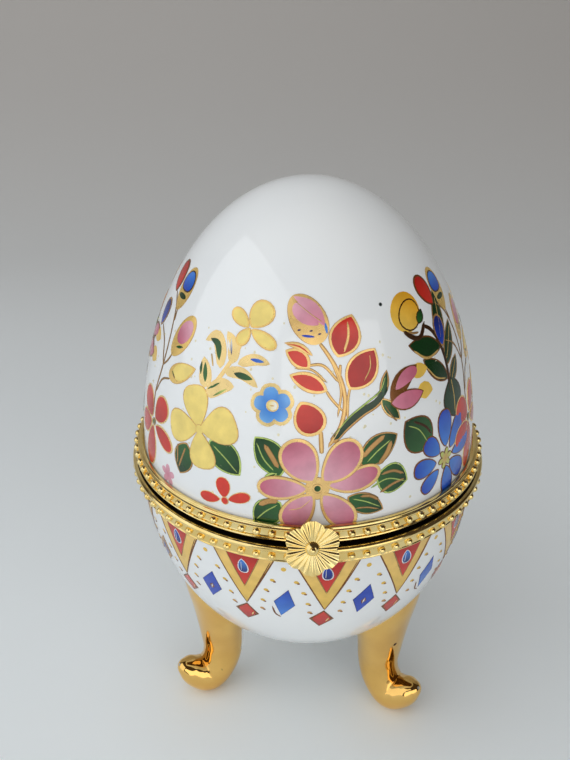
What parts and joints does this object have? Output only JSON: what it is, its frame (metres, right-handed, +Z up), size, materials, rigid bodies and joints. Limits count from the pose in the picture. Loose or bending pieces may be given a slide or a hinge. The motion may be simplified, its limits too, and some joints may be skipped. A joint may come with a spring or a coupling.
{
  "type": "porcelain egg trinket box",
  "caption": "Footed porcelain egg box with gilt beaded rims: a tall half-egg lid hinged at the back to a bowl on three cabriole legs, with a rosette clasp in front.",
  "frame": {"origin": "on the surface that the box stands on, under the middle of its bounding box, which is the egg's axis to within a quarter of a millimetre", "axes": "+Z up along the egg's axis, -Y towards the rosette clasp, +Y towards the hinge"},
  "size_m": [0.0708, 0.0777, 0.1137],
  "materials": {
    "porcelain": "white glazed porcelain with fired enamel flowers and gilding",
    "gilt_brass": "polished pale gold plate",
    "gilding": "satin burnished gold fired on porcelain"
  },
  "bodies": {
    "base": {"bowl_with_legs": "porcelain", "bowl_rim": "gilt_brass", "hinge_leaf_bowl": "gilt_brass", "hinge_pin": "gilt_brass"},
    "lid": {"lid_dome": "porcelain", "lid_rim": "gilt_brass", "hinge_leaf_lid": "gilt_brass", "clasp_rosette": "gilt_brass"}
  },
  "joints": [
    {"name": "lid_hinge", "type": "hinge", "parent": "base", "child": "lid", "pos_m": [0, 0.0374, 0.0606], "axis": [-1, 0, 0], "range_deg": [0, 100]}
  ]
}
